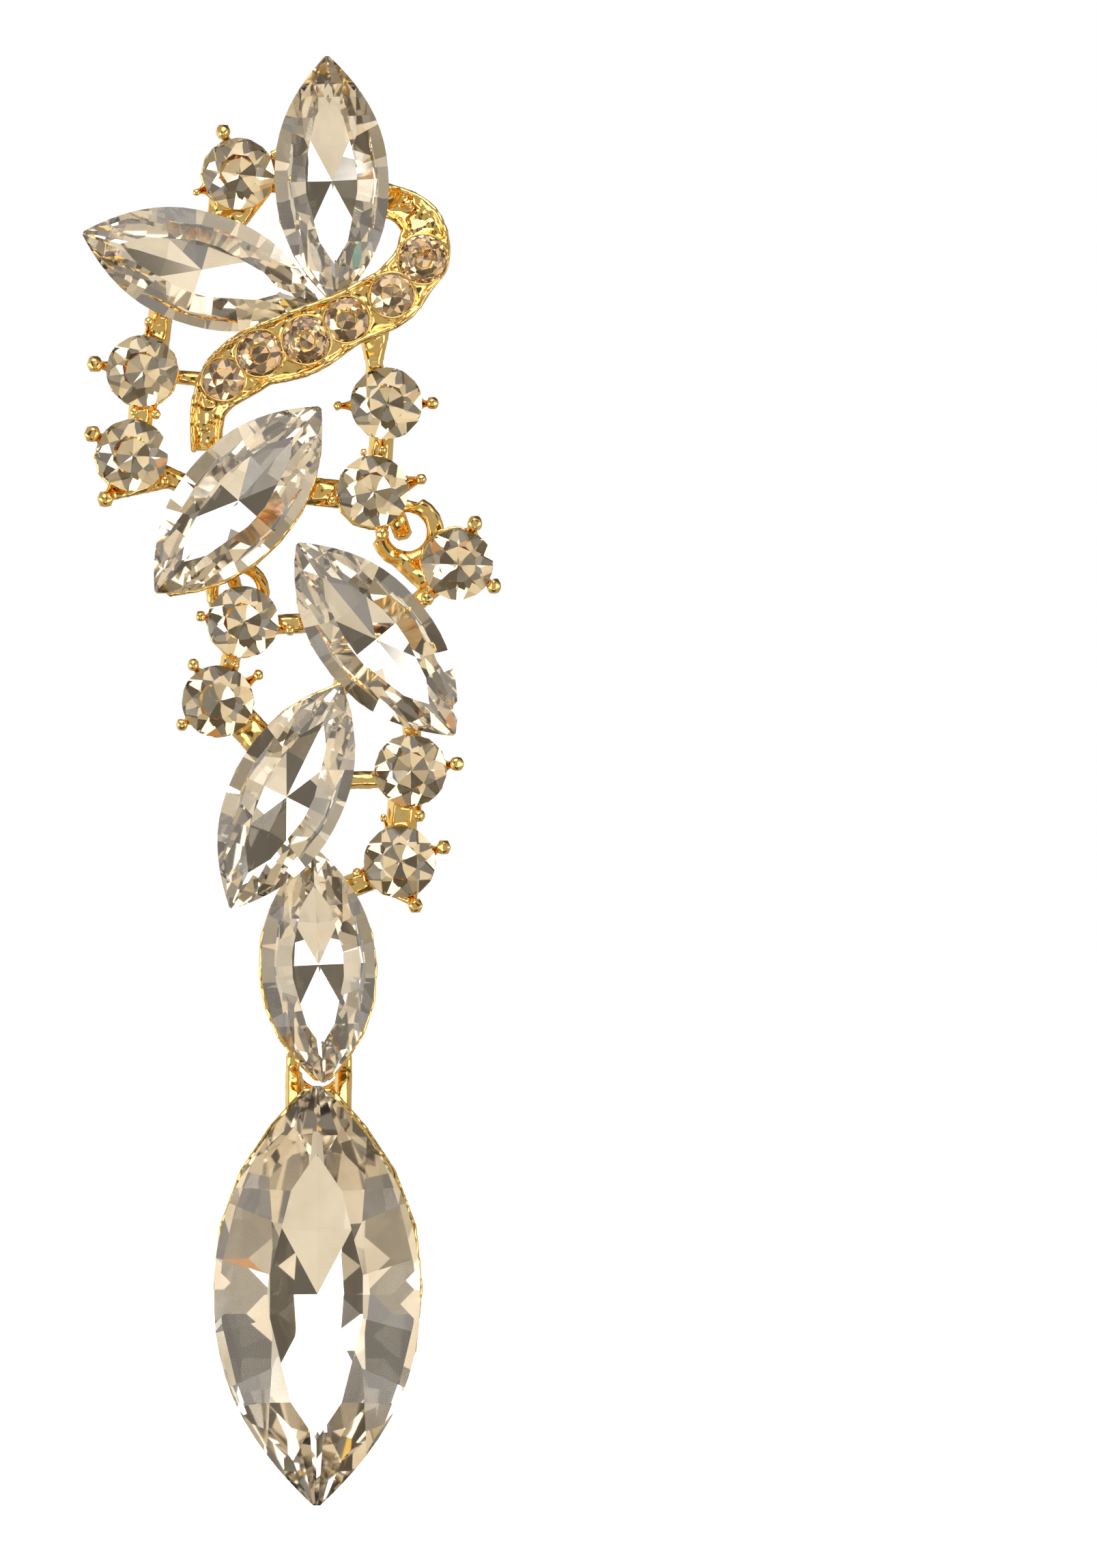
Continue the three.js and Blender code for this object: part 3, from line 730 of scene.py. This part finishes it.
def laid_over(tree, place, shown, card, edge):
    """The world's colour with one more card laid over it."""
    dot = tree.nodes.new("ShaderNodeVectorMath")
    dot.operation = "DOT_PRODUCT"
    dot.inputs[1].default_value = way_out(card)
    tree.links.new(place.outputs["Generated"], dot.inputs[0])
    ramp = tree.nodes.new("ShaderNodeMapRange")
    ramp.inputs["From Min"].default_value = math.cos(math.radians(card.radius + edge))
    ramp.inputs["From Max"].default_value = math.cos(math.radians(card.radius))
    tree.links.new(dot.outputs["Value"], ramp.inputs["Value"])
    laid = tree.nodes.new("ShaderNodeMixRGB")
    laid.inputs["Color2"].default_value = (*card.colour, 1)
    tree.links.new(ramp.outputs["Result"], laid.inputs["Fac"])
    tree.links.new(shown, laid.inputs["Color1"])
    return laid.outputs["Color"]


def card_studio(tree, place):
    """The colour of the studio that the stones gather."""
    patches = tree.nodes.new("ShaderNodeTexVoronoi")
    patches.inputs["Scale"].default_value = PATCH_SCALE
    tones = tree.nodes.new("ShaderNodeValToRGB")
    tones.color_ramp.interpolation = "CONSTANT"
    for start, _ in PATCH_TONES[2:]:  # a new ramp has two elements already
        tones.color_ramp.elements.new(start)
    for element, (start, colour) in zip(tones.color_ramp.elements, PATCH_TONES):
        element.position = start
        element.color = (*colour, 1)
    tree.links.new(place.outputs["Generated"], patches.inputs["Vector"])
    tree.links.new(patches.outputs["Color"], tones.inputs["Fac"])
    shown = tones.outputs["Color"]
    for card in PANELS:
        shown = laid_over(tree, place, shown, card, PANEL_EDGE)
    return shown


def soft_tent(tree, place):
    """The colour of the tent that polished metal mirrors."""
    wall = tree.nodes.new("ShaderNodeRGB")
    wall.outputs[0].default_value = (*TENT_WALL, 1)
    shown = wall.outputs[0]
    for card in SOFT_BOXES:
        shown = laid_over(tree, place, shown, card, SOFT_EDGE)
    return shown


def studio_world():
    """All the light: cards for rays through glass, a tent for other rays, white for the camera."""
    world = bpy.data.worlds.new("studio")
    bpy.context.scene.world = world
    world.use_nodes = True
    tree = world.node_tree
    place = tree.nodes.new("ShaderNodeTexCoord")
    rays = tree.nodes.new("ShaderNodeLightPath")
    gathered = tree.nodes.new("ShaderNodeMixRGB")
    tree.links.new(rays.outputs["Is Transmission Ray"], gathered.inputs["Fac"])
    tree.links.new(soft_tent(tree, place), gathered.inputs["Color1"])
    tree.links.new(card_studio(tree, place), gathered.inputs["Color2"])
    light = tree.nodes["Background"]
    tree.links.new(gathered.outputs["Color"], light.inputs["Color"])
    backdrop = tree.nodes.new("ShaderNodeBackground")
    backdrop.inputs["Color"].default_value = (1, 1, 1, 1)
    seen = tree.nodes.new("ShaderNodeMixShader")
    tree.links.new(rays.outputs["Is Camera Ray"], seen.inputs["Fac"])
    tree.links.new(light.outputs["Background"], seen.inputs[1])
    tree.links.new(backdrop.outputs["Background"], seen.inputs[2])
    tree.links.new(seen.outputs["Shader"], tree.nodes["World Output"].inputs["Surface"])


studio_world()

# ------------------------------------------------------------------ floor and camera

# The pale floor lies a little under the lowest point and glows, so that it is as white as the
# backdrop. It throws no light on the earring and isn't mirrored in it.
FLOOR = {"gap": 0.02, "half_size": 3.0, "colour": (0.9, 0.9, 0.9), "roughness": 0.9}
low_corner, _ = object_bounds()
floor_level = low_corner.z - FLOOR["gap"]
floor_corners = [(-1, -1), (1, -1), (1, 1), (-1, 1)]
floor_material, floor_shader = node_material(
    "pale_floor", FLOOR["colour"], roughness=FLOOR["roughness"]
)
floor_shader.inputs["Emission Color"].default_value = (1, 1, 1, 1)
floor_shader.inputs["Emission Strength"].default_value = 1.0
floor = mesh_object(
    "floor",
    [(x * FLOOR["half_size"], y * FLOOR["half_size"], floor_level) for x, y in floor_corners],
    [(0, 1, 2, 3)],
    [floor_material],
)
floor.visible_glossy = False
floor.visible_transmission = False
floor.visible_diffuse = False

# The camera looks straight at the front. The picture has its frame height at the stones, and
# they lie so far in front of the origin.
CAMERA = {"distance": 0.62, "x": 0.01365, "z": -0.0335, "frame_height": 0.09567, "stones": 0.003}
SENSOR = 36
camera = linked("camera", bpy.data.cameras.new("camera"))
camera.location = (CAMERA["x"], -CAMERA["distance"], CAMERA["z"])
camera.rotation_euler = (math.pi / 2, 0, 0)
camera.data.sensor_width = SENSOR
camera.data.lens = SENSOR * (CAMERA["distance"] - CAMERA["stones"]) / CAMERA["frame_height"]
camera.data.clip_start = 0.01
camera.data.clip_end = 20
bpy.context.scene.camera = camera
bpy.context.scene.view_settings.view_transform = "Standard"

# Light goes to and fro inside a cut stone many times before it leaves, off foil and glass alike.
light_paths = bpy.context.scene.cycles
light_paths.max_bounces = 16
light_paths.glossy_bounces = 14
light_paths.transmission_bounces = 14
